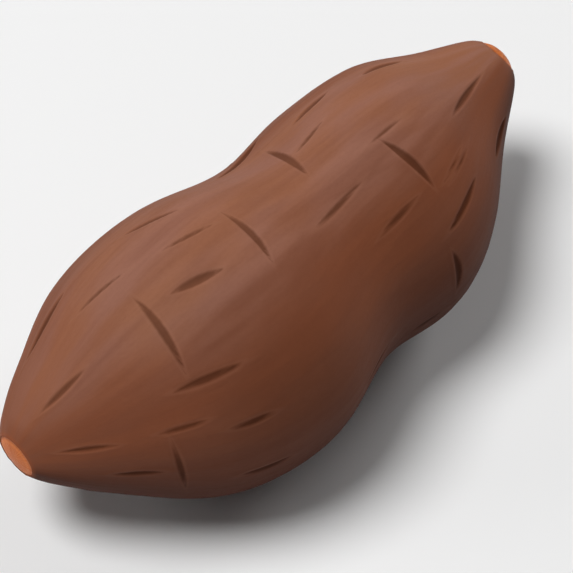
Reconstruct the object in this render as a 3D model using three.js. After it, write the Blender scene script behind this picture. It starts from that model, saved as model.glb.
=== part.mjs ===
// A whole yam: one grown tuber lying on its belly, with the thin tip trimmed off at each end.
// Millimetres, +Z up, +X from the root tip towards the stem tip. The origin is on the resting
// plane, under the middle of the tuber's bounding box.

import * as THREE from 'three';

// Driving dimensions
const HALF_LENGTH = 81;          // from the middle of the tuber to the middle of either cut
const HALF_WIDTH = 35;           // at the thickest place, in the fuller lobe
const FLATTENING = 0.94;         // height over width of a full section
const REST_DEPTH = 1;            // how far the belly is pressed flat where it rests

// Half-widths along the tuber, each as [place from -1 to 1, share of HALF_WIDTH]. Two lobes with
// a soft waist between them, each narrowing to a rounded shoulder just behind its cut.
const GIRTH = [
  [-1.0, 0.158],
  [-0.96, 0.28],
  [-0.85, 0.52],
  [-0.62, 0.89],
  [-0.32, 1.0],
  [0.0, 0.85],
  [0.3, 0.92],
  [0.57, 0.785],
  [0.81, 0.455],
  [0.96, 0.25],
  [1.0, 0.16],
];

// The bend of the tuber, at even steps along it: [sideways, height] of the middle of a section.
const BEND = [
  [9.0, 27.0],
  [-0.6, 31.0],
  [-3.9, 31.7],
  [-3.0, 30.5],
  [-2.0, 28.8],
  [2.0, 31.3],
  [3.0, 36.5],
];

// The way each cut faces, in degrees turned from the X axis: towards +Y, and then upwards. Its
// flesh swells into a low dome; swell is the slope of the dome where it meets the rim.
const ROOT_CUT = { yaw: 3, pitch: -1, swell: 14 };
const STEM_CUT = { yaw: -10, pitch: 32, swell: 33 };

// Shallow swellings round a section: [how many, share of the radius, turn, twist to either tip],
// the last two in radians. They die out towards the tips.
const SWELLINGS = [
  [2, 0.010, 1.3, 2.4],
  [3, 0.014, 0.5, 1.0],
  [5, 0.008, -1.0, -1.6],
];
const SWELLING_FADE = 0.37;      // share of the half length over which they die out

// A slender section is round, and a full one is flattened.
const ROUND_HALF_WIDTH = 5;
const FULL_HALF_WIDTH = 17;

// Fineness of the mesh
const RINGS = 56;
const SIDES = 48;
const DOME_RINGS = 3;

// The direction from a cut into the air, given which end of the tuber it is on: -1 or 1.
function cutDirection(cut, end) {
  const yaw = THREE.MathUtils.degToRad(cut.yaw);
  const pitch = THREE.MathUtils.degToRad(cut.pitch);
  const along = end * Math.cos(pitch) * Math.cos(yaw);
  return new THREE.Vector3(along, Math.cos(pitch) * Math.sin(yaw), Math.sin(pitch));
}

const spine = new THREE.CatmullRomCurve3(
  BEND.map(([y, z], i) => new THREE.Vector3((2 * i / (BEND.length - 1) - 1) * HALF_LENGTH, y, z)),
  false,
  'catmullrom',
);
const girth = new THREE.SplineCurve(
  GIRTH.map(([place, share]) => new THREE.Vector2(place, share * HALF_WIDTH)),
);
const rootAxis = cutDirection(ROOT_CUT, -1).negate();
const stemAxis = cutDirection(STEM_CUT, 1);

// A section of the tuber: its middle, its two half-axes, and the axis it stands across. Sections
// stand upright in the middle and lean over, more and more, to the angle of the cut at each tip.
function sectionAt(t) {
  const { x: place, y: halfWidth } = girth.getPoint(t);
  const axis = new THREE.Vector3(1, 0, 0)
    .lerp(place < 0 ? rootAxis : stemAxis, place * place)
    .normalize();
  const side = new THREE.Vector3(0, 0, 1).cross(axis).normalize();
  const up = new THREE.Vector3().crossVectors(axis, side);
  const fullness = THREE.MathUtils.smoothstep(halfWidth, ROUND_HALF_WIDTH, FULL_HALF_WIDTH);
  const halfHeight = halfWidth * THREE.MathUtils.lerp(1, FLATTENING, fullness);
  return {
    place,
    axis,
    middle: spine.getPoint((place + 1) / 2),
    side: side.multiplyScalar(halfWidth),
    up: up.multiplyScalar(halfHeight),
  };
}

function swellingAt(place, angle) {
  const fade = THREE.MathUtils.smoothstep(1 - Math.abs(place), 0, SWELLING_FADE);
  let sum = 0;
  for (const [count, size, turn, twist] of SWELLINGS) {
    sum += size * Math.cos(count * angle + turn + twist * place);
  }
  return 1 + fade * sum;
}

// A closed loop of points round a section, shrunk by scale and moved along the section's axis.
function loopPoints(section, scale, shift) {
  const points = [];
  for (let i = 0; i < SIDES; i += 1) {
    const angle = 2 * Math.PI * i / SIDES;
    const reach = scale * swellingAt(section.place, angle);
    points.push(section.middle.clone()
      .addScaledVector(section.side, reach * Math.cos(angle))
      .addScaledVector(section.up, reach * Math.sin(angle))
      .addScaledVector(section.axis, shift));
  }
  return points;
}

// The dome over a cut: smaller and smaller loops in from the rim, and a crown.
function dome(section, cut, end) {
  const slope = THREE.MathUtils.degToRad(cut.swell);
  const radius = section.side.length() / Math.sin(slope);
  const rise = (angle) => end * radius * (Math.cos(angle) - Math.cos(slope));
  const loops = [];
  for (let i = DOME_RINGS; i >= 1; i -= 1) {
    const angle = slope * i / (DOME_RINGS + 1);
    loops.push(loopPoints(section, Math.sin(angle) / Math.sin(slope), rise(angle)));
  }
  const crown = section.middle.clone().addScaledVector(section.axis, rise(0));
  return { loops, crown };
}

// Loops one after another, with a fan of faces to a crown point at either end.
function closedFaces(loopCount, rootCrown, stemCrown) {
  const faces = [];
  const lastLoop = (loopCount - 1) * SIDES;
  for (let i = 0; i < SIDES; i += 1) {
    const next = (i + 1) % SIDES;
    for (let loop = 0; loop < lastLoop; loop += SIDES) {
      faces.push(loop + i, loop + next, loop + next + SIDES);
      faces.push(loop + i, loop + next + SIDES, loop + i + SIDES);
    }
    faces.push(rootCrown, next, i);
    faces.push(stemCrown, lastLoop + i, lastLoop + next);
  }
  return faces;
}

// Every point that reaches below the resting plane is lifted onto it.
function pressFlat(points) {
  const plane = Math.min(...points.map((point) => point.z)) + REST_DEPTH;
  for (const point of points) {
    point.z = Math.max(point.z, plane);
  }
}

function tuberGeometry() {
  const sections = Array.from({ length: RINGS }, (_, i) => sectionAt(i / (RINGS - 1)));
  const rootDome = dome(sections[0], ROOT_CUT, -1);
  const stemDome = dome(sections[RINGS - 1], STEM_CUT, 1);
  const loops = [
    ...rootDome.loops.reverse(),
    ...sections.map((section) => loopPoints(section, 1, 0)),
    ...stemDome.loops,
  ];
  const points = [...loops.flat(), rootDome.crown, stemDome.crown];
  pressFlat(points);

  const geometry = new THREE.BufferGeometry().setFromPoints(points);
  geometry.setIndex(closedFaces(loops.length, points.length - 2, points.length - 1));
  geometry.computeBoundingBox();
  const { min, max } = geometry.boundingBox;
  geometry.translate(-(min.x + max.x) / 2, -(min.y + max.y) / 2, -min.z);
  geometry.computeVertexNormals();
  return geometry;
}

const skin = new THREE.MeshStandardMaterial({ color: 0x86583f, roughness: 0.6, metalness: 0 });
const tuber = new THREE.Mesh(tuberGeometry(), skin);
tuber.name = 'tuber';

const yam = new THREE.Group();
yam.name = 'yam';
yam.add(tuber);

export default yam;
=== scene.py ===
"""A whole yam: reddish-brown skin with dark sunken scars, and a bare orange cut at each tip."""

import math

import bpy
import numpy as np
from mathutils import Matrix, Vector, noise
from mathutils.bvhtree import BVHTree


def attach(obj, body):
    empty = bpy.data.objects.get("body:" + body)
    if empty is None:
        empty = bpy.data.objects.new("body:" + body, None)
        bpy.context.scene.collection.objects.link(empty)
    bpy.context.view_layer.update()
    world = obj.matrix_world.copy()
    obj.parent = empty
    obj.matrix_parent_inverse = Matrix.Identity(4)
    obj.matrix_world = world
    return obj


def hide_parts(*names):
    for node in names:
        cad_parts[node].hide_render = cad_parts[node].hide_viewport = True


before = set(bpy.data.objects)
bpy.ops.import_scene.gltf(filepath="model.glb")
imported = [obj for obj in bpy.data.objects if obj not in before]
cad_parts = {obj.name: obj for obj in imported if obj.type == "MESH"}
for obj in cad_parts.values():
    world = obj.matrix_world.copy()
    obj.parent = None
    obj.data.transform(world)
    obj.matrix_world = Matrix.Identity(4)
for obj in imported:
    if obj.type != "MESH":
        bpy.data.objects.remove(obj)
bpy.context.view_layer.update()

MM = 0.001

# The mesh: loops of points from the root cut to the stem cut, and in each loop steps round it.
LOOPS = 300
STEPS = 300
DOME_LOOPS = 8                    # loops over the flesh of a cut
EDGE_LOOPS = 2                    # loops over a cut that still belong to the skin

# The blurs that take the CAD facets away: in steps round a loop, and in loops along the tuber.
# The second fades out near a cut, where the facets shrink to nothing.
ROUND_BLUR = 4.0
ALONG_BLUR = 3.5
FADE_FROM_LOOP = 2
FADE_TO_LOOP = 24

# The two cuts, as the CAD tuber has them: the way each faces, in degrees turned from the X axis
# towards +Y and then upwards; its radius; and the slope of its domed flesh at the rim.
ROOT_CUT = {"end": -1, "yaw": 3, "pitch": -1, "radius": 5.53 * MM, "swell": 14}
STEM_CUT = {"end": 1, "yaw": -10, "pitch": 32, "radius": 5.6 * MM, "swell": 33}
SKIN_EDGE = 0.25 * MM             # the thickness of the skin's cut edge
FLESH_SET_BACK = 0.15 * MM        # how far the flesh lies behind that edge

# The relief of the skin: the most that each kind of unevenness rises or falls.
UNDULATION = 0.30 * MM
WRINKLES = 0.05 * MM
FINE_GRAIN = 0.03 * MM

# The relief of a scar: a groove as deep as a share of its width, and a lip of skin round it.
GROOVE_DEPTH_SHARE = 0.18
DEEPEST_GROOVE = 0.45 * MM
GROOVE_START = 0.15 * MM          # how far outside the outline of the scar its wall begins
GROOVE_WALL_SHARE = 0.30          # and where the wall ends inside, as a share of the width
LIP_HEIGHT = 0.1 * MM
LIP_DISTANCE = 0.5 * MM           # from the outline of the scar to the top of the lip
LIP_SPREAD = 0.4 * MM
OUTSIDE = 3 * MM                  # further from a scar than this, the skin knows nothing of it

# The scars, each as: share of the way from the root cut to the stem cut; degrees round from the
# top towards the front; length and width in millimetres; degrees turned from lengthwise towards
# the front; and how far its middle bows sideways, in millimetres.
SCARS = [
    # where the tuber is seen from above and in front
    (0.79, -24, 15, 2.4, -5, 0.0),
    (0.64, -26, 15, 1.9, -11, 0.0),
    (0.58, -2, 12, 1.1, -13, 0.0),
    (0.52, -39, 25, 2.8, -29, 0.0),
    (0.53, -1, 18, 2.2, -82, 0.5),
    (0.65, 24, 13, 1.0, -2, 0.0),
    (0.64, 41, 17, 2.4, -95, 0.6),
    (0.86, 40, 25, 1.6, -2, 0.0),
    (0.71, 55, 12, 0.7, -6, 0.0),
    (0.73, 58, 13, 0.7, -4, 0.0),
    (0.87, 88, 17, 2.2, 11, 0.0),
    (0.68, 70, 19, 1.9, -6, 0.0),
    (0.51, 36, 20, 1.4, -4, 0.0),
    (0.57, 54, 14, 1.4, -6, 0.0),
    (0.38, 23, 18, 1.9, -79, 0.9),
    (0.33, -13, 14, 1.5, 30, 0.0),
    (0.33, 8, 13, 1.2, 15, 0.0),
    (0.29, 24, 13, 2.2, 16, 0.0),
    (0.21, 29, 21, 1.9, -86, 1.3),
    (0.21, -2, 14, 1.0, 14, 0.0),
    (0.15, -29, 17, 2.0, 8, 0.0),
    (0.09, 17, 14, 1.4, 5, 0.0),
    (0.22, 50, 17, 1.7, 8, 0.0),
    (0.17, 62, 12, 1.2, 2, 0.0),
    (0.07, 60, 13, 1.1, 8, 0.0),
    (0.11, 84, 12, 1.3, -2, 0.0),
    (0.15, 82, 17, 1.4, -90, 0.5),
    (0.24, 70, 12, 1.5, 6, 0.0),
    (0.25, 92, 13, 1.6, 2, 0.0),
    # the front, low down
    (0.45, 92, 15, 1.5, -2, 0.0),
    (0.40, 112, 12, 1.8, -86, 0.8),
    (0.57, 104, 14, 1.3, 5, 0.0),
    (0.70, 112, 15, 1.6, 0, 0.0),
    (0.62, 88, 13, 2.2, -88, 0.7),
    # the belly
    (0.82, 122, 12, 1.4, 4, 0.0),
    (0.22, 122, 14, 1.7, -4, 0.0),
    (0.33, 138, 15, 2.2, 6, 0.0),
    (0.10, 126, 10, 1.3, 0, 0.0),
    (0.52, 140, 17, 1.9, -84, 1.0),
    (0.66, 146, 13, 1.2, 3, 0.0),
    (0.78, 160, 13, 1.7, -5, 0.0),
    (0.90, 140, 10, 1.2, 0, 0.0),
    (0.17, 160, 16, 2.0, -90, 1.0),
    (0.44, 170, 12, 1.6, 0, 0.0),
    (0.60, -172, 15, 1.8, -6, 0.0),
    # the back
    (0.72, -150, 14, 2.4, -86, 0.9),
    (0.36, -150, 14, 1.5, 4, 0.0),
    (0.13, -150, 12, 1.3, -6, 0.0),
    (0.85, -140, 13, 1.4, 2, 0.0),
    (0.50, -134, 13, 1.4, -3, 0.0),
    (0.24, -122, 17, 2.1, -84, 1.0),
    (0.42, -110, 15, 2.6, 10, 0.0),
    (0.62, -112, 12, 1.2, -5, 0.0),
    (0.10, -104, 13, 1.5, 6, 0.0),
    (0.76, -102, 16, 1.7, 0, 0.0),
    (0.90, -98, 11, 1.2, -4, 0.0),
    (0.31, -88, 12, 1.1, -10, 0.0),
    (0.53, -88, 17, 2.3, -94, 0.9),
    (0.18, -76, 13, 1.8, 0, 0.0),
    (0.68, -78, 14, 1.4, 6, 0.0),
]


# ---------------------------------------------------------------- form

def cut_direction(cut):
    """The direction from a cut into the air."""
    yaw = math.radians(cut["yaw"])
    pitch = math.radians(cut["pitch"])
    along = cut["end"] * math.cos(pitch) * math.cos(yaw)
    return np.array([along, math.cos(pitch) * math.sin(yaw), math.sin(pitch)])


def dome_rise(cut):
    """How far the crown of the flesh stands above the rim of a cut."""
    return cut["radius"] * math.tan(math.radians(cut["swell"]) / 2)


def cut_middle(points, cut):
    """The middle of a cut: the crown is the tuber's furthest point the way the cut faces."""
    facing = cut_direction(cut)
    crown = points[np.argmax(points @ facing)]
    return crown - facing * dome_rise(cut)


def unit(vectors):
    """The same directions, each with a length of 1."""
    return vectors / np.linalg.norm(vectors, axis=-1, keepdims=True)


def smoothstep(values, low, high):
    """0 below low, 1 above high, and smooth between."""
    t = np.clip((values - low) / (high - low), 0, 1)
    return t * t * (3 - 2 * t)


class Core:
    """A straight line through the tuber from cut to cut, with a plane across it at each place.

    place runs from 0 at the root cut to 1 at the stem cut. The planes stand upright in the
    middle and lean over to the angle of the cut at each end. Angles go round from the top: a
    quarter turn is the front, -Y, and half a turn the belly.
    """

    def __init__(self, node):
        mesh = node.data
        points = np.array([v.co for v in mesh.vertices])
        self.root = cut_middle(points, ROOT_CUT)
        self.stem = cut_middle(points, STEM_CUT)
        polygons = [tuple(p.vertices) for p in mesh.polygons]
        self.skin = BVHTree.FromPolygons([Vector(p) for p in points], polygons)

    def middle(self, place):
        return self.root + (self.stem - self.root) * place[:, None]

    def planes(self, place):
        """Unit vectors at each place: across to the front, and up."""
        span = 2 * place - 1
        lean = (span * span)[:, None]
        tip_axis = np.where(span[:, None] < 0, -cut_direction(ROOT_CUT), cut_direction(STEM_CUT))
        axis = unit(np.array([1.0, 0.0, 0.0]) * (1 - lean) + tip_axis * lean)
        front = unit(np.cross(axis, [0.0, 0.0, 1.0]))
        return front, np.cross(front, axis)

    def rays(self, place, angle):
        """Start points and directions, one row of angles for each place."""
        front, up = self.planes(place)
        out = (
            front[:, None] * np.sin(angle)[None, :, None]
            + up[:, None] * np.cos(angle)[None, :, None]
        )
        start = np.broadcast_to(self.middle(place)[:, None], out.shape)
        return start, out

    def reach(self, place, angle):
        """How far the CAD skin is from the core, for every place and angle."""
        start, out = self.rays(place, angle)
        hits = [
            self.skin.ray_cast(Vector(s), Vector(d))[3]
            for s, d in zip(start.reshape(-1, 3), out.reshape(-1, 3))
        ]
        return np.array(hits).reshape(len(place), len(angle))

    def even_places(self, count):
        """Places whose loops lie evenly spaced over the skin, measured on a coarse grid."""
        coarse_loops = 160
        coarse_steps = 24
        place = np.linspace(0, 1, coarse_loops)
        angle = np.linspace(0, 2 * math.pi, coarse_steps, endpoint=False)
        radius = self.reach(place, angle).mean(axis=1)
        step = np.hypot(np.diff(place) * np.linalg.norm(self.stem - self.root), np.diff(radius))
        travelled = np.concatenate([[0], np.cumsum(step)])
        return np.interp(np.linspace(0, travelled[-1], count), travelled, place)


def blurred(field, sigma, axis, mode):
    """field blurred along one axis, sigma in samples; mode says what lies past its edges."""
    width = int(3 * sigma) + 1
    offsets = np.arange(-width, width + 1)
    weights = np.exp(-0.5 * (offsets / sigma) ** 2)
    pad = [(width, width) if a == axis else (0, 0) for a in range(field.ndim)]
    padded = np.pad(field, pad, mode=mode)
    size = field.shape[axis]
    total = sum(w * np.take(padded, range(i, i + size), axis) for i, w in enumerate(weights))
    return total / weights.sum()


def smooth_reach(reach):
    """The CAD reach without its facets."""
    rounded = blurred(reach, ROUND_BLUR, axis=1, mode="wrap")
    smooth = blurred(rounded, ALONG_BLUR, axis=0, mode="edge")
    loop = np.arange(len(reach))
    from_cut = np.minimum(loop, loop[::-1])[:, None]
    share = smoothstep(from_cut, FADE_FROM_LOOP, FADE_TO_LOOP)
    return rounded * (1 - share) + smooth * share


def surface_normals(points):
    """Outward normals of the grid of loops, from the tangents along it and round it."""
    along = np.gradient(points, axis=0)
    around = np.roll(points, -1, axis=1) - np.roll(points, 1, axis=1)
    return unit(np.cross(around, along))


class Skin:
    """The grid of skin points, with what the relief and the colours need to know about each."""

    def __init__(self, core):
        self.place = core.even_places(LOOPS)
        self.angle = np.linspace(-math.pi, math.pi, STEPS, endpoint=False)
        reach = smooth_reach(core.reach(self.place, self.angle))
        start, out = core.rays(self.place, self.angle)
        self.points = start + out * reach[:, :, None]
        self.normals = surface_normals(self.points)
        self.travel = self.distance_travelled()
        self.fullness = np.sqrt(reach / reach.max())
        self.grain = self.grain_vectors(reach.max())

    def distance_travelled(self):
        """Distance along the skin from the root cut to each loop, the mean of all round."""
        steps = np.linalg.norm(np.diff(self.points, axis=0), axis=2).mean(axis=1)
        return np.concatenate([[0], np.cumsum(steps)])

    def grain_vectors(self, full):
        """A position on a straight roller of radius full, in millimetres: X is forward, Y is up,
        and Z is how far along the skin, which is the way the grain runs."""
        grain = np.empty((LOOPS, STEPS, 3))
        grain[:, :, 0] = np.sin(self.angle) * full / MM
        grain[:, :, 1] = np.cos(self.angle) * full / MM
        grain[:, :, 2] = self.travel[:, None] / MM
        return grain

    def spot(self, share, degrees):
        """The skin at a share of the way along and an angle round: point, and the unit vectors
        lengthwise, round towards the front, and outward."""
        loop = int(np.argmin(np.abs(self.travel - share * self.travel[-1])))
        step = int(round((degrees / 360 + 0.5) * STEPS)) % STEPS
        out = self.normals[loop, step]
        ahead = self.points[min(loop + 1, LOOPS - 1), step] - self.points[max(loop - 1, 0), step]
        lengthwise = unit(ahead - out * (ahead @ out))
        return self.points[loop, step], lengthwise, np.cross(lengthwise, out), out


# ---------------------------------------------------------------- relief

def grain_noise(skin, size, stretch):
    """Smooth noise over the skin: size is how wide its lumps are in millimetres, and stretch how
    many times longer they are along the grain."""
    scaled = skin.grain / size
    scaled[:, :, 2] /= stretch
    values = [noise.noise(Vector(p)) for p in scaled.reshape(-1, 3)]
    return np.array(values).reshape(LOOPS, STEPS)


def scar_depth_inside(skin, scar):
    """How far inside the outline of a scar each skin point is, negative outside, in metres."""
    share, degrees, length, width, turn, bow = scar
    point, lengthwise, forward, out = skin.spot(share, degrees)
    c = math.cos(math.radians(turn))
    s = math.sin(math.radians(turn))
    offset = skin.points - point
    along = offset @ (lengthwise * c + forward * s) / (length / 2 * MM)
    across = offset @ (forward * c - lengthwise * s)
    taper = 1 - along * along
    inside = width / 2 * MM * taper - np.abs(across - bow * MM * taper)
    faces_away = skin.normals @ out < 0.2
    return np.where(faces_away, -OUTSIDE, np.clip(inside, -OUTSIDE, None))


def scar_relief(inside, width):
    """A groove with a raised lip round it."""
    depth = min(GROOVE_DEPTH_SHARE * width * MM, DEEPEST_GROOVE)
    groove = -depth * smoothstep(inside, -GROOVE_START, GROOVE_WALL_SHARE * width * MM)
    lip = LIP_HEIGHT * np.exp(-((inside + LIP_DISTANCE) / LIP_SPREAD) ** 2)
    return groove + lip


def add_relief(skin):
    """Moves the skin points out and in for its unevenness and its scars, and keeps them above
    the plane that the tuber rests on."""
    undulation = UNDULATION * grain_noise(skin, size=13, stretch=2.5)
    wrinkles = WRINKLES * grain_noise(skin, size=2.6, stretch=9)
    fine = FINE_GRAIN * grain_noise(skin, size=1.3, stretch=5)
    relief = (undulation + wrinkles + fine) * skin.fullness
    inside = np.full((LOOPS, STEPS), -OUTSIDE)
    for scar in SCARS:
        this = scar_depth_inside(skin, scar)
        relief = relief + scar_relief(this, scar[3])
        inside = np.maximum(inside, this)
    skin.inside_scar = inside
    skin.points = skin.points + skin.normals * relief[:, :, None]
    skin.points[:, :, 2] = np.maximum(skin.points[:, :, 2], 0)


# ---------------------------------------------------------------- cut ends

def cut_end(middle, cut, rim):
    """Loops over a cut, in from its rim: the skin's edge, a small step down to the flesh, and the
    flesh swelling into a low dome. Its crown comes last, on its own."""
    facing = cut_direction(cut)
    swell = math.radians(cut["swell"])
    sphere = cut["radius"] / math.sin(swell)
    edge_share = SKIN_EDGE / cut["radius"]
    flesh_share = 1 - edge_share
    profile = [(1 - 0.6 * edge_share, 0.0), (flesh_share, -FLESH_SET_BACK)]
    for i in range(1, DOME_LOOPS):
        slope = swell * (1 - i / DOME_LOOPS)
        share = math.sin(slope) / math.sin(swell) * flesh_share
        rise = sphere * (math.cos(slope) - math.cos(swell))
        profile.append((share, rise - FLESH_SET_BACK * share ** 4))
    loops = [middle + (rim - middle) * share + facing * rise for share, rise in profile]
    return np.array(loops), middle + facing * dome_rise(cut)


# ---------------------------------------------------------------- mesh

SKIN_SLOT = 0
FLESH_SLOT = 1


def grid_faces(rows):
    """The four corners of each face of a grid of loops, and which way round each corner lies."""
    row, step = np.meshgrid(np.arange(rows - 1), np.arange(STEPS), indexing="ij")
    row, step = row.ravel(), step.ravel()
    corner_rows = np.stack([row, row, row + 1, row + 1], axis=1)
    corner_steps = np.stack([step, step + 1, step + 1, step], axis=1)
    corners = corner_rows * STEPS + corner_steps % STEPS
    return corners, corner_rows, corner_steps


def crown_fans(rows):
    """Triangles from the first and the last loop to the crowns, whose two points come last."""
    root_crown = rows * STEPS
    stem_crown = root_crown + 1
    last = (rows - 1) * STEPS
    root_fan = [(root_crown, (i + 1) % STEPS, i) for i in range(STEPS)]
    stem_fan = [(stem_crown, last + i, last + (i + 1) % STEPS) for i in range(STEPS)]
    return root_fan + stem_fan


def set_slots(mesh, face_rows, rows, cut_loops):
    """Gives the faces over each cut, inside the skin's edge, to the flesh, and the rest to the
    skin."""
    flesh_rows = cut_loops - EDGE_LOOPS
    in_flesh = (face_rows < flesh_rows) | (face_rows >= rows - 1 - flesh_rows)
    fan_slots = np.full(2 * STEPS, FLESH_SLOT)
    slots = np.concatenate([np.where(in_flesh, FLESH_SLOT, SKIN_SLOT), fan_slots])
    mesh.polygons.foreach_set("material_index", slots.astype(np.int32))


def tuber_mesh(skin, core):
    """One closed mesh: the root cut, the skin and the stem cut."""
    root, root_crown = cut_end(core.root, ROOT_CUT, skin.points[0])
    stem, stem_crown = cut_end(core.stem, STEM_CUT, skin.points[-1])
    loops = np.concatenate([root[::-1], skin.points, stem])
    vertices = np.concatenate([loops.reshape(-1, 3), [root_crown, stem_crown]])
    rows = len(loops)
    corners, corner_rows, corner_steps = grid_faces(rows)

    mesh = bpy.data.meshes.new("yam")
    mesh.from_pydata(vertices.tolist(), [], corners.tolist() + crown_fans(rows))
    mesh.update()
    mesh.shade_smooth()
    set_slots(mesh, corner_rows[:, 0], rows, len(root))
    unroll(mesh, loops, corner_rows, corner_steps)
    store_skin_facts(mesh, skin, len(root), len(stem))
    store(mesh, "from_middle", share_from_crowns(vertices, loops))
    return mesh


def store_skin_facts(mesh, skin, root_loops, stem_loops):
    """Stores what the finishes need to know about the skin, carried over both cuts."""
    facts = {
        "grain": skin.grain,
        "inside_scar": skin.inside_scar / MM,
        "fullness": skin.fullness,
        "faces_up": skin.normals[:, :, 2],
    }
    for name, field in facts.items():
        store(mesh, name, stretched_over(field, root_loops, stem_loops))


def unroll(mesh, loops, corner_rows, corner_steps):
    """A map for the textures: round the tuber across, and along it up, at an even scale."""
    steps = np.linalg.norm(np.diff(loops, axis=0), axis=2).mean(axis=1)
    travel = np.concatenate([[0], np.cumsum(steps)])
    crown_gap = travel[1]         # from a crown to its first loop, taken as the next step is
    height = (travel + crown_gap) / (travel[-1] + 2 * crown_gap)
    grid = np.stack([corner_steps / STEPS, height[corner_rows]], axis=-1).reshape(-1, 2)
    i = np.arange(STEPS)
    root_fan = np.stack([(i + 0.5, i * 0), (i + 1, i * 0 + height[0]), (i, i * 0 + height[0])])
    stem_fan = np.stack([(i + 0.5, i * 0 + 1), (i, i * 0 + height[-1]), (i + 1, i * 0 + height[-1])])
    fans = np.concatenate([root_fan.transpose(2, 0, 1), stem_fan.transpose(2, 0, 1)]).reshape(-1, 2)
    fans[:, 0] /= STEPS
    layer = mesh.uv_layers.new(name="OFBake")
    layer.data.foreach_set("uv", np.concatenate([grid, fans]).astype(np.float32).ravel())


def stretched_over(field, root_loops, stem_loops):
    """A field of the skin carried over both cuts from their rims, one value for each vertex."""
    root = np.repeat(field[:1], root_loops, axis=0)
    stem = np.repeat(field[-1:], stem_loops, axis=0)
    loops = np.concatenate([root, field, stem])
    crowns = np.stack([field[0].mean(axis=0), field[-1].mean(axis=0)])
    return np.concatenate([loops.reshape((-1,) + field.shape[2:]), crowns])


def share_from_crowns(vertices, loops):
    """How far out from the nearer crown each vertex is: 0 at the crown, 1 at the cut's rim, and
    2 wherever it is twice as far or more."""
    rim_loop = DOME_LOOPS         # on the skin's cut edge, counted in from either end
    shares = []
    for crown, rim in ((vertices[-2], loops[rim_loop]), (vertices[-1], loops[-1 - rim_loop])):
        radius = np.linalg.norm(rim - crown, axis=1).mean()
        shares.append(np.linalg.norm(vertices - crown, axis=1) / radius)
    return np.minimum(*shares).clip(0, 2)


def store(mesh, name, values):
    """Keeps a number or a vector at each vertex, for the finishes to read."""
    is_vector = values.ndim == 2
    attribute = mesh.attributes.new(name, "FLOAT_VECTOR" if is_vector else "FLOAT", "POINT")
    attribute.data.foreach_set("vector" if is_vector else "value", values.astype(np.float32).ravel())


# ---------------------------------------------------------------- finishes

def paint(red, green, blue):
    """A colour as it looks on a screen, 0 to 255, in the shader's own numbers."""
    def linear(channel):
        c = channel / 255
        return c / 12.92 if c <= 0.04045 else ((c + 0.055) / 1.055) ** 2.4
    return (linear(red), linear(green), linear(blue), 1.0)


class Link:
    """A socket of a finish. Sums on one that holds a number add the Math nodes they need."""

    def __init__(self, finish, socket):
        self.finish = finish
        self.socket = socket

    def math(self, operation, a, b):
        return self.finish.node("ShaderNodeMath", {"operation": operation}, {0: a, 1: b})

    def __add__(self, other):
        return self.math("ADD", self, other)

    def __sub__(self, other):
        return self.math("SUBTRACT", self, other)

    def __mul__(self, other):
        return self.math("MULTIPLY", self, other)

    def __rsub__(self, other):
        return self.math("SUBTRACT", other, self)

    __radd__ = __add__
    __rmul__ = __mul__


class Finish:
    """A material made of nodes."""

    def __init__(self, name):
        self.material = bpy.data.materials.new(name)
        self.material.use_nodes = True
        self.tree = self.material.node_tree
        self.tree.nodes.clear()

    def node(self, kind, settings=None, inputs=None, output=0):
        """A new node's output: settings first, then the values or links of its sockets."""
        node = self.tree.nodes.new(kind)
        for name, value in (settings or {}).items():
            setattr(node, name, value)
        for name, value in (inputs or {}).items():
            if isinstance(value, Link):
                self.tree.links.new(value.socket, node.inputs[name])
            else:
                node.inputs[name].default_value = value
        return Link(self, node.outputs[output]) if node.outputs else None

    def attribute(self, name, output):
        return self.node("ShaderNodeAttribute", {"attribute_name": name}, output=output)

    def part_of(self, vector, axis):
        """One part of a vector, as a number."""
        return self.node("ShaderNodeSeparateXYZ", inputs={"Vector": vector}, output=axis)

    def noise(self, grain, size, stretch=1.0, detail=2.0):
        """Noise in lumps of that width in millimetres, stretched along the grain: 0 to 1."""
        scaled = self.node(
            "ShaderNodeVectorMath", {"operation": "MULTIPLY"}, {0: grain, 1: (1, 1, 1 / stretch)}
        )
        inputs = {"Vector": scaled, "Scale": 1 / size, "Detail": detail}
        return self.node("ShaderNodeTexNoise", inputs=inputs, output="Fac")

    def step(self, value, low, high):
        """0 below low, 1 above high, and smooth between."""
        settings = {"interpolation_type": "SMOOTHSTEP"}
        inputs = {"Value": value, "From Min": low, "From Max": high}
        return self.node("ShaderNodeMapRange", settings, inputs)

    def blend(self, share, below, above):
        """One colour turning into another as share goes from 0 to 1."""
        # The Mix node has sockets of the same name for other types, so these go by number.
        first_colour = 6
        second_colour = 7
        mixed_colour = 2
        inputs = {"Factor": share, first_colour: below, second_colour: above}
        return self.node("ShaderNodeMix", {"data_type": "RGBA"}, inputs, output=mixed_colour)

    def bump(self, height, distance):
        """A normal tilted by a height of 0 to 1, which stands for that distance in metres."""
        return self.node("ShaderNodeBump", inputs={"Height": height, "Distance": distance})

    def surface(self, inputs):
        """The finished material, from the values and links of its shader."""
        shader = self.node("ShaderNodeBsdfPrincipled", inputs=inputs)
        self.node("ShaderNodeOutputMaterial", inputs={"Surface": shader})
        return self.material


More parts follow.
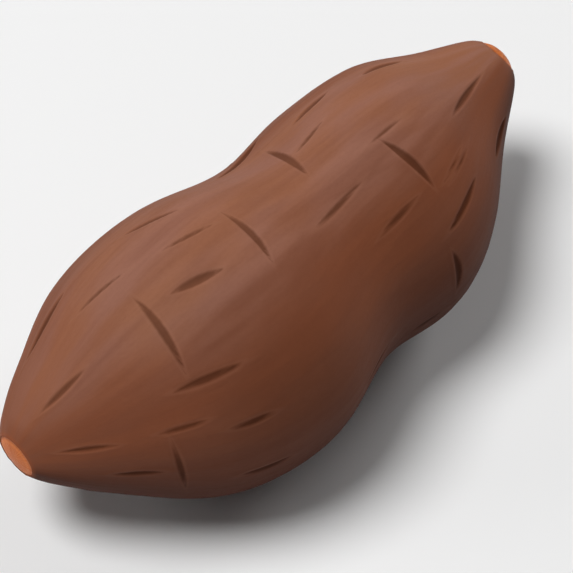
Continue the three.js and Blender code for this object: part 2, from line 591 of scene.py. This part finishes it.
class SkinPattern:
    """Where the skin changes: each of these is a share from 0 to 1."""

    def __init__(self, f):
        grain = f.attribute("grain", "Vector")
        height = f.part_of(grain, "Y")
        inside = f.attribute("inside_scar", "Fac")
        full = f.step(f.attribute("fullness", "Fac"), 0.45, 0.85)
        faces_up = f.step(f.attribute("faces_up", "Fac"), 0.5, 0.9)
        self.patches = f.step(f.noise(grain, size=15, stretch=2.2), 0.35, 0.65)
        self.bands = f.step(f.noise(grain, size=6, stretch=5), 0.36, 0.66) * full
        self.streaks = f.step(f.noise(grain, size=2.2, stretch=8), 0.35, 0.75) * full
        self.mottle = f.noise(grain, size=0.8, stretch=1.5, detail=3)
        # painted light: where the skin faces up it is painted paler, as if lit from above
        self.lit_crest = f.step(height - self.bands * 3, 28, 42) * faces_up
        # painted shade: the underside is marked for painting darker
        self.shaded_belly = 1 - f.step(height, -14, 22)
        self.near_cut = 1 - f.step(f.attribute("from_middle", "Fac"), 1.0, 1.25)
        self.lip = f.step(inside, -0.9, -0.35) * (1 - f.step(inside, -0.3, -0.05))
        self.scar = f.step(inside + (self.mottle - 0.5) * 0.15, -0.25, 0.45)


def bare_skin_colour(f, at):
    """Brown sides; a paler top where the skin faces up, in patches of brown and mauve, which is
    painted light and painted sheen; an underside painted dark as painted shade; all streaked along
    the tuber; reddish brown where the skin was cut."""
    side = f.blend(at.patches, paint(131, 76, 51), paint(128, 77, 55))
    # painted light: a paler copy of the skin colour for the top, with mauve patches of painted sheen
    lit_crest = f.blend(at.patches, paint(149, 97, 72), paint(150, 102, 84))
    colour = f.blend(at.lit_crest, side, lit_crest)
    colour = f.blend(at.bands * 0.18, colour, paint(104, 56, 37))
    colour = f.blend(at.streaks * 0.10, colour, paint(100, 54, 38))
    colour = f.blend(f.step(at.mottle, 0.3, 0.8) * 0.08, colour, paint(100, 54, 38))
    # painted shade: the underside is painted dark brown
    colour = f.blend(at.shaded_belly * 0.90, colour, paint(68, 30, 15))
    return f.blend(at.near_cut * 0.5, colour, paint(150, 76, 38))


def scarred_colour(f, at, colour):
    """The same with the pale lip and the dark cork of the scars. The cork is painted lighter on the
    upward-facing top as painted light and darkest on the underside as painted shade, where the lip
    is also painted fainter as painted shade.
    """
    # painted shade: the pale lip is painted fainter on the underside
    colour = f.blend(at.lip * (0.10 - at.shaded_belly * 0.07), colour, paint(160, 112, 90))
    # painted light: the cork is painted lighter where the skin faces up
    cork = f.blend(at.lit_crest, paint(84, 44, 25), paint(100, 59, 40))
    # painted shade: the cork is painted near black on the underside
    cork = f.blend(at.shaded_belly, cork, paint(48, 22, 11))
    return f.blend(at.scar * (0.72 + at.patches * 0.14), colour, cork)


def skin_finish():
    """Dry, faintly waxy brown skin, streaked along the tuber, with darker corky scars."""
    f = Finish("yam skin")
    at = SkinPattern(f)
    return f.surface({
        "Base Color": scarred_colour(f, at, bare_skin_colour(f, at)),
        "Roughness": 0.60 + at.mottle * 0.10 + at.scar * 0.20,
        "IOR": 1.3,
        "Specular IOR Level": 0.22,
        "Normal": f.bump(at.mottle * 0.6 + at.streaks * 0.4, 0.05 * MM),
    })


def flesh_finish():
    """Moist orange flesh, browner where it dries at the rim, with fine fibres."""
    f = Finish("orange flesh")
    grain = f.attribute("grain", "Vector")
    from_middle = f.attribute("from_middle", "Fac")
    cloud = f.step(f.noise(grain, size=2.5, stretch=1), 0.3, 0.7)
    colour = f.blend(cloud, paint(214, 112, 38), paint(198, 96, 28))
    fibres = f.step(f.noise(grain, size=0.5, detail=3), 0.45, 0.75)
    colour = f.blend(fibres * 0.25, colour, paint(234, 150, 82))
    ring = f.step(from_middle, 0.66, 0.78) * (1 - f.step(from_middle, 0.80, 0.90))
    colour = f.blend(ring * 0.20, colour, paint(234, 150, 82))
    dried = f.step(from_middle, 0.84, 1.0)
    colour = f.blend(dried * 0.6, colour, paint(150, 74, 34))
    return f.surface({
        "Base Color": colour,
        "Roughness": 0.42 + cloud * 0.12,
        "Specular IOR Level": 0.3,
        "Normal": f.bump(fibres, 0.05 * MM),
    })


# ---------------------------------------------------------------- studio

def look_from(azimuth, elevation, distance, aim):
    """A place to stand: azimuth 0 looks along +Y and 90 along -X, and elevation is how far it
    looks down."""
    a, e = math.radians(azimuth), math.radians(elevation)
    back = Vector((math.sin(a) * math.cos(e), -math.cos(a) * math.cos(e), math.sin(e)))
    return aim + back * distance, back.to_track_quat("Z", "Y")


def add_camera():
    """A long lens in front of the root end, looking well down on the tuber."""
    data = bpy.data.cameras.new("camera")
    data.lens = 120
    camera = bpy.data.objects.new("camera", data)
    camera.rotation_mode = "QUATERNION"
    aim = Vector((-7.0, -0.1, 27.7)) * MM
    camera.location, camera.rotation_quaternion = look_from(
        azimuth=-48, elevation=50.5, distance=0.449, aim=aim
    )
    bpy.context.scene.collection.objects.link(camera)
    bpy.context.scene.camera = camera


def add_softbox(name, azimuth, elevation, power, shines=True):
    """A round soft lamp aimed at the yam. One that does not shine lights without a highlight."""
    distance = 2.4
    data = bpy.data.lights.new(name, "AREA")
    data.shape = "DISK"
    data.size = distance / 2
    data.energy = power
    lamp = bpy.data.objects.new(name, data)
    lamp.visible_glossy = shines
    lamp.rotation_mode = "QUATERNION"
    lamp.location, lamp.rotation_quaternion = look_from(azimuth, elevation, distance, Vector())
    bpy.context.scene.collection.objects.link(lamp)


def add_lamps():
    add_softbox("key", azimuth=-130, elevation=68, power=46)
    add_softbox("side", azimuth=90, elevation=22, power=26, shines=False)
    add_softbox("back", azimuth=-135, elevation=22, power=9, shines=False)


def add_dim_world():
    """A faint white glow from all round."""
    world = bpy.data.worlds.new("studio")
    world.use_nodes = True
    glow = world.node_tree.nodes["Background"]
    glow.inputs["Color"].default_value = (1, 1, 1, 1)
    glow.inputs["Strength"].default_value = 0.05
    bpy.context.scene.world = world


def add_floor():
    half = 3                      # metres from its middle to each side
    corners = [(-half, -half, 0), (half, -half, 0), (half, half, 0), (-half, half, 0)]
    mesh = bpy.data.meshes.new("floor")
    mesh.from_pydata(corners, [], [(0, 1, 2, 3)])
    floor = bpy.data.objects.new("floor", mesh)
    bpy.context.scene.collection.objects.link(floor)
    f = Finish("pale floor")
    mesh.materials.append(f.surface({"Base Color": (0.9, 0.9, 0.9, 1), "Roughness": 0.9}))


def add_studio():
    bpy.context.scene.view_settings.view_transform = "Standard"
    add_dim_world()
    add_lamps()
    add_floor()


# ---------------------------------------------------------------- yam

def add_yam():
    core = Core(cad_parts["tuber"])
    skin = Skin(core)
    add_relief(skin)
    mesh = tuber_mesh(skin, core)
    mesh.materials.append(skin_finish())
    mesh.materials.append(flesh_finish())
    yam = bpy.data.objects.new("yam", mesh)
    bpy.context.scene.collection.objects.link(yam)
    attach(yam, "root")
    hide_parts("tuber")


add_camera()
add_studio()
add_yam()
